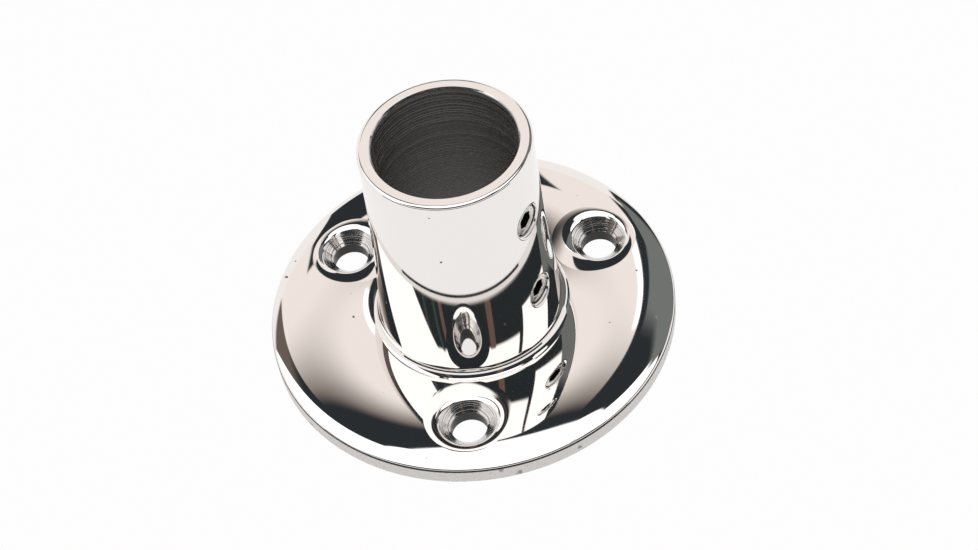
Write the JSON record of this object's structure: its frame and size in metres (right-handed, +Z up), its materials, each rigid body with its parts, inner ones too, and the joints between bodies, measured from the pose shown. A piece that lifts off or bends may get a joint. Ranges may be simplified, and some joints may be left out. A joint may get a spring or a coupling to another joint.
{
  "type": "stanchion base",
  "caption": "Round deck flange with a straight upright socket that holds a stanchion tube, clamped by set screws in its wall and screwed to the deck through countersunk holes.",
  "frame": {"origin": "centre of the flange's underside, on the axis of the bore", "axes": "+Z up the bore of the socket, towards its open end. -Y towards one of the deck holes. The set screws are in the wall 30 degrees from +X towards -Y"},
  "size_m": [0.075, 0.075, 0.0475],
  "materials": {
    "polished_flange": "mirror-polished stainless steel, as cast on its vertical edge",
    "polished_tube": "mirror-polished stainless steel outside, turned and unpolished in its bore",
    "polished_weld": "mirror-polished stainless steel weld",
    "set_screw_steel": "bright turned stainless steel"
  },
  "bodies": {
    "weldment": {"base_flange": "polished_flange", "socket_tube": "polished_tube", "foot_weld": "polished_weld"},
    "upper_screw": {"upper_set_screw": "set_screw_steel"},
    "lower_screw": {"lower_set_screw": "set_screw_steel"}
  },
  "joints": [
    {"name": "upper_screw_travel", "type": "slide", "parent": "weldment", "child": "upper_screw", "axis": [-0.866, 0.5, 0], "range_m": [-0.0015, 0.0008]},
    {"name": "lower_screw_travel", "type": "slide", "parent": "weldment", "child": "lower_screw", "axis": [-0.866, 0.5, 0], "range_m": [-0.0015, 0.0016]}
  ]
}
